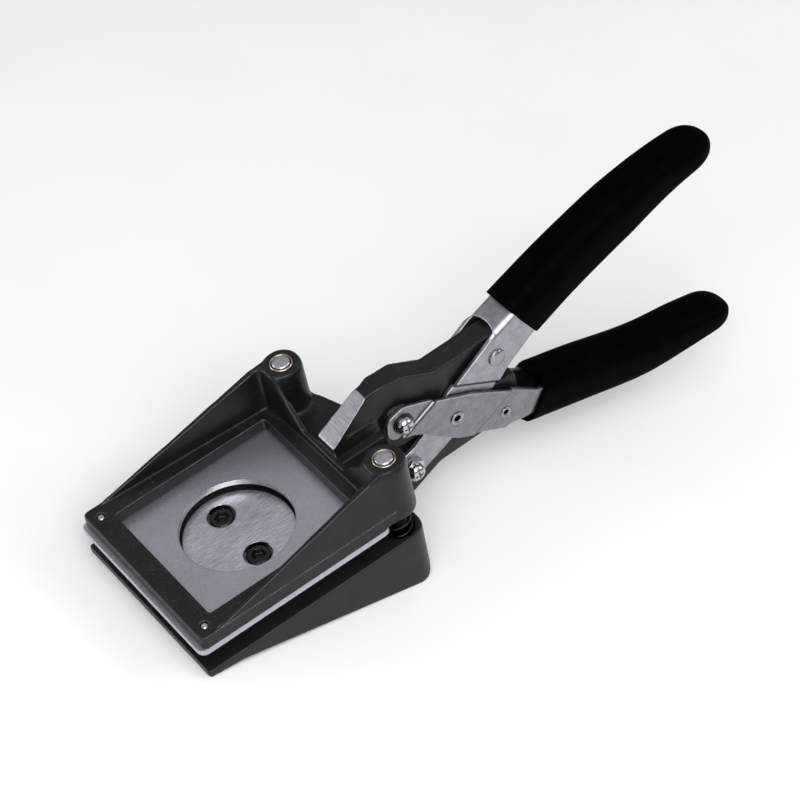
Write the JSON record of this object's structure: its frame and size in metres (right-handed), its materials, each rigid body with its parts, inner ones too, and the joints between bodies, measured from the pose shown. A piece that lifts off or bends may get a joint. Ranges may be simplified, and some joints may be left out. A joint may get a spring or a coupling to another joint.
{
  "type": "hand-held circle punch",
  "caption": "Plier-action hand punch that cuts round paper discs: cast jaws on guide pins, a punch and die plate, and crossed channel handles with vinyl grips.",
  "frame": {"origin": "centre of the punch disc's top face, jaws open", "axes": "+Z along the punch axis towards the head, +X back to the handles, +Y to the left of the person who holds it"},
  "size_m": [0.2196, 0.0656, 0.0831],
  "materials": {
    "black_powder_coat": "semi-gloss powder coat, fine sparkle",
    "die_steel": "fine ground",
    "punch_steel": "coarse brushed",
    "black_oxide_steel": "black oxide",
    "bronze": "turned bronze bush",
    "spring_steel": "drawn wire",
    "zinc_plated_steel": "zinc plated, satin",
    "bright_steel": "bright zinc plated",
    "black_vinyl": "dipped vinyl, satin"
  },
  "bodies": {
    "base": {"base_casting": "black_powder_coat", "punch_disc": "punch_steel", "punch_screw_left": "black_oxide_steel", "punch_screw_right": "black_oxide_steel", "guide_pin_left": "bright_steel", "guide_pin_right": "bright_steel", "return_spring_left": "spring_steel", "return_spring_right": "spring_steel", "lower_pivot_screw": "bright_steel", "lower_pivot_spacer_nut": "zinc_plated_steel", "lower_pivot_nut": "zinc_plated_steel"},
    "head": {"head_casting": "black_powder_coat", "die_plate": "die_steel", "guide_bush_left": "bronze", "guide_bush_right": "bronze", "die_screw_front_left": "bright_steel", "die_screw_front_right": "bright_steel", "die_screw_back_left": "bright_steel", "die_screw_back_right": "bright_steel", "upper_pivot_washer": "black_oxide_steel", "upper_pivot_screw": "bright_steel", "upper_pivot_nut": "zinc_plated_steel"},
    "upper_handle": {"upper_handle_channel": "zinc_plated_steel", "upper_grip": "black_vinyl", "upper_slide_rivet": "zinc_plated_steel", "centre_rivet": "zinc_plated_steel"},
    "lower_handle": {"lower_handle_channel": "zinc_plated_steel", "lower_grip": "black_vinyl", "lower_slide_rivet": "zinc_plated_steel"}
  },
  "joints": [
    {"name": "head_slide", "type": "slide", "parent": "base", "child": "head", "axis": [0, 0, -1], "range_m": [0, 0.004], "stiffness_N_per_m": 5000, "springref_m": -0.004, "deforming": ["return_spring_left", "return_spring_right"]},
    {"name": "upper_handle_pivot", "type": "hinge", "parent": "base", "child": "upper_handle", "pos_m": [0.0575, 0, -0.01095], "axis": [0, 1, 0], "range_deg": [0, 6.5]},
    {"name": "lower_handle_pivot", "type": "hinge", "parent": "head", "child": "lower_handle", "pos_m": [0.0575, 0, 0.00955], "axis": [0, -1, 0], "range_deg": [0, 6.5]}
  ],
  "couplings": [
    {"joint": "upper_handle_pivot", "follows": "head_slide", "rad_per_m": 27.13},
    {"joint": "lower_handle_pivot", "follows": "head_slide", "rad_per_m": 27.13}
  ]
}
